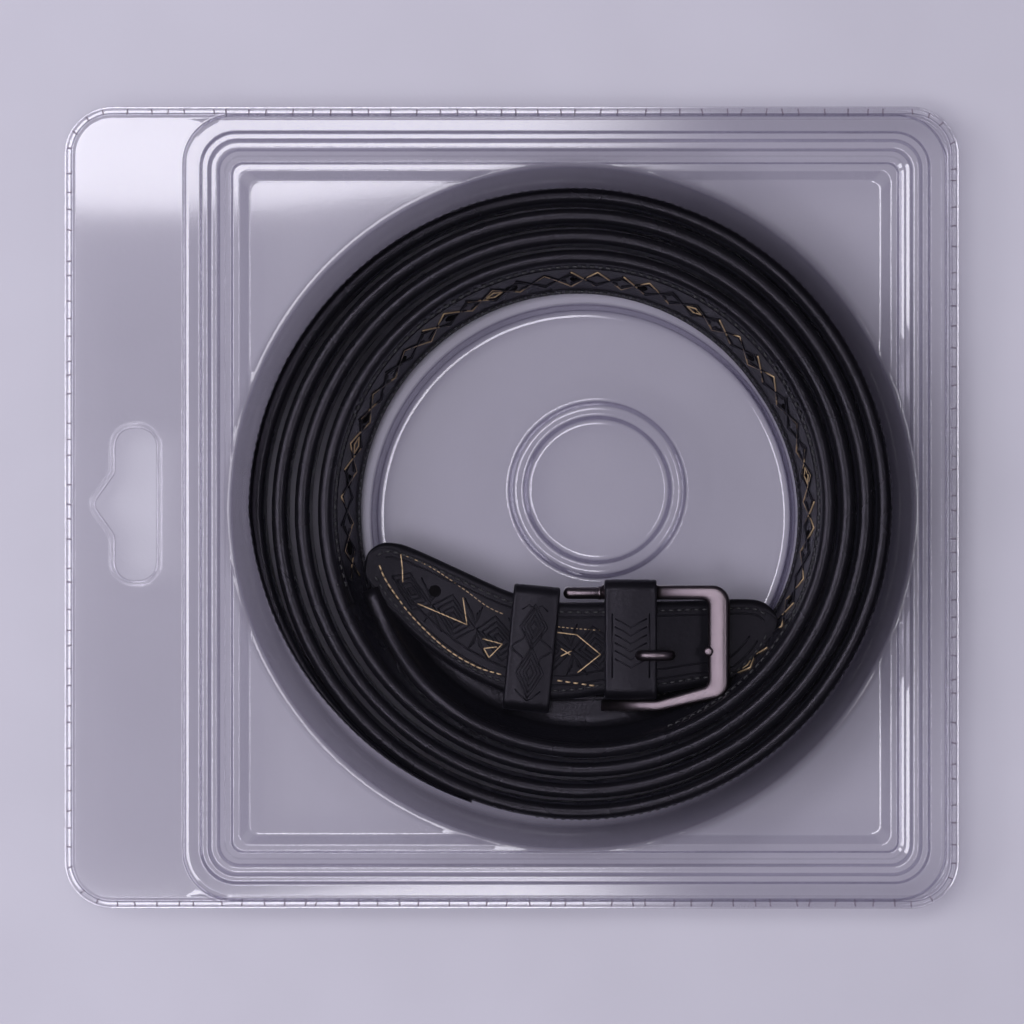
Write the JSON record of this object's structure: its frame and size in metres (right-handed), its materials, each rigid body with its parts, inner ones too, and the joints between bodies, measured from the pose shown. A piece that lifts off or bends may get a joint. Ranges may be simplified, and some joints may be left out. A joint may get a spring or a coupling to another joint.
{
  "type": "clear clamshell pack with a coiled belt",
  "caption": "Clear hanging clamshell pack, welded shut round its edge, holding a leather belt coiled round a pedestal.",
  "frame": {"origin": "under the middle of the pack, on the surface that its back rests on", "axes": "+X runs along the pack away from the hang tab, +Y across it, +Z out of its front"},
  "size_m": [0.2236, 0.2004, 0.0295],
  "materials": {
    "front_sheet": "clear glossy thermoformed sheet",
    "back_sheet": "clear glossy thermoformed sheet",
    "strap_leather": "embossed black leather with gold thread",
    "loop_leather": "embossed black leather",
    "satin_nickel": "satin nickel with a warm tone"
  },
  "bodies": {
    "root": {"front_shell": "front_sheet", "back_shell": "back_sheet", "belt_strap": "strap_leather", "buckle_tab": "strap_leather", "keeper_loop": "loop_leather", "buckle_loop": "loop_leather", "buckle_frame": "satin_nickel", "buckle_prong": "satin_nickel"}
  },
  "joints": []
}
